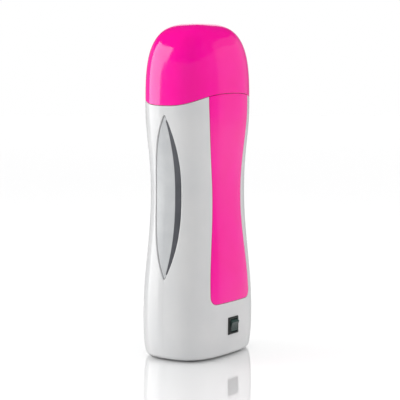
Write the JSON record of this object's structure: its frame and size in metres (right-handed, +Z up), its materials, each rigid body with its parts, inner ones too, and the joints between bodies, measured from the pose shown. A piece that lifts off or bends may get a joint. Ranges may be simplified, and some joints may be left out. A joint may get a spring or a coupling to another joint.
{
  "type": "roll-on wax cartridge warmer",
  "caption": "Upright waisted wax warmer with a lift-off cap, side sight windows, a rocker switch and an inlet, holding a roll-on wax cartridge.",
  "frame": {"origin": "on the table under the middle of the warmer, at the bottom of its rubber feet", "axes": "+Z up along the height; -Y out of the front, where the panel and the switch are; X across the width, through the two windows"},
  "size_m": [0.0734, 0.0549, 0.2],
  "materials": {
    "white_plastic": "glossy white ABS",
    "pink_plastic": "glossy hot-pink ABS",
    "window_plastic": "translucent light-grey polycarbonate",
    "smoked_plastic": "smoked polycarbonate",
    "rubber_black": "matt rubber",
    "steel_screw": "zinc plated",
    "chamber_plastic": "heat-resistant grey plastic",
    "aluminium_plate": "plain sheet",
    "heater_ceramic": "ceramic in insulating film",
    "insulation": "insulating sheet",
    "spring_steel": "spring strip",
    "fuse_case": "plated case",
    "black_plastic": "satin black",
    "rocker_plastic": "dark green translucent",
    "brass_tab": "tinned",
    "lamp_glass": "amber lamp",
    "pin_metal": "nickel plated",
    "lead_brown": "PVC insulation",
    "lead_red": "silicone insulation",
    "lead_blue": "PVC insulation",
    "lead_white": "silicone insulation",
    "bottle_plastic": "translucent natural plastic",
    "wax": "honey-coloured wax",
    "head_plastic": "white plastic",
    "roller_metal": "polished"
  },
  "bodies": {
    "housing": {"front_shell": "white_plastic", "rear_shell": "white_plastic", "front_panel": "pink_plastic", "window_left": "window_plastic", "window_right": "window_plastic", "sight_strip_left": "smoked_plastic", "sight_strip_right": "smoked_plastic", "base_cover": "white_plastic", "rubber_feet": "rubber_black", "base_screws": "steel_screw", "shell_screws": "steel_screw", "chamber_sleeve": "chamber_plastic", "heating_plate": "aluminium_plate", "ptc_heaters": "heater_ceramic", "insulation_sheet": "insulation", "heater_clip": "spring_steel", "thermal_fuse": "fuse_case", "switch_housing": "black_plastic", "switch_terminals": "brass_tab", "switch_lamp": "lamp_glass", "inlet_socket": "black_plastic", "inlet_pins": "pin_metal", "lead_live": "lead_brown", "lead_switched": "lead_red", "lead_neutral": "lead_blue", "lead_heater": "lead_white"},
    "cap": {"cap": "pink_plastic"},
    "cartridge": {"cartridge_bottle": "bottle_plastic", "wax_fill": "wax", "roller_head": "head_plastic"},
    "roller": {"roller": "roller_metal"},
    "rocker": {"switch_rocker": "rocker_plastic"}
  },
  "joints": [
    {"name": "cartridge_lift", "type": "slide", "parent": "housing", "child": "cartridge", "axis": [0, 0, 1], "range_m": [0, 0.13]},
    {"name": "cap_lift", "type": "slide", "parent": "cartridge", "child": "cap", "axis": [0, 0, 1], "range_m": [0, 0.06]},
    {"name": "roller_spin", "type": "hinge", "parent": "cartridge", "child": "roller", "pos_m": [0, 0, 0.176], "axis": [1, 0, 0], "continuous": true},
    {"name": "rocker_tilt", "type": "hinge", "parent": "housing", "child": "rocker", "pos_m": [0, -0.02469, 0.0189], "axis": [1, 0, 0], "range_deg": [-22, 0]}
  ]
}
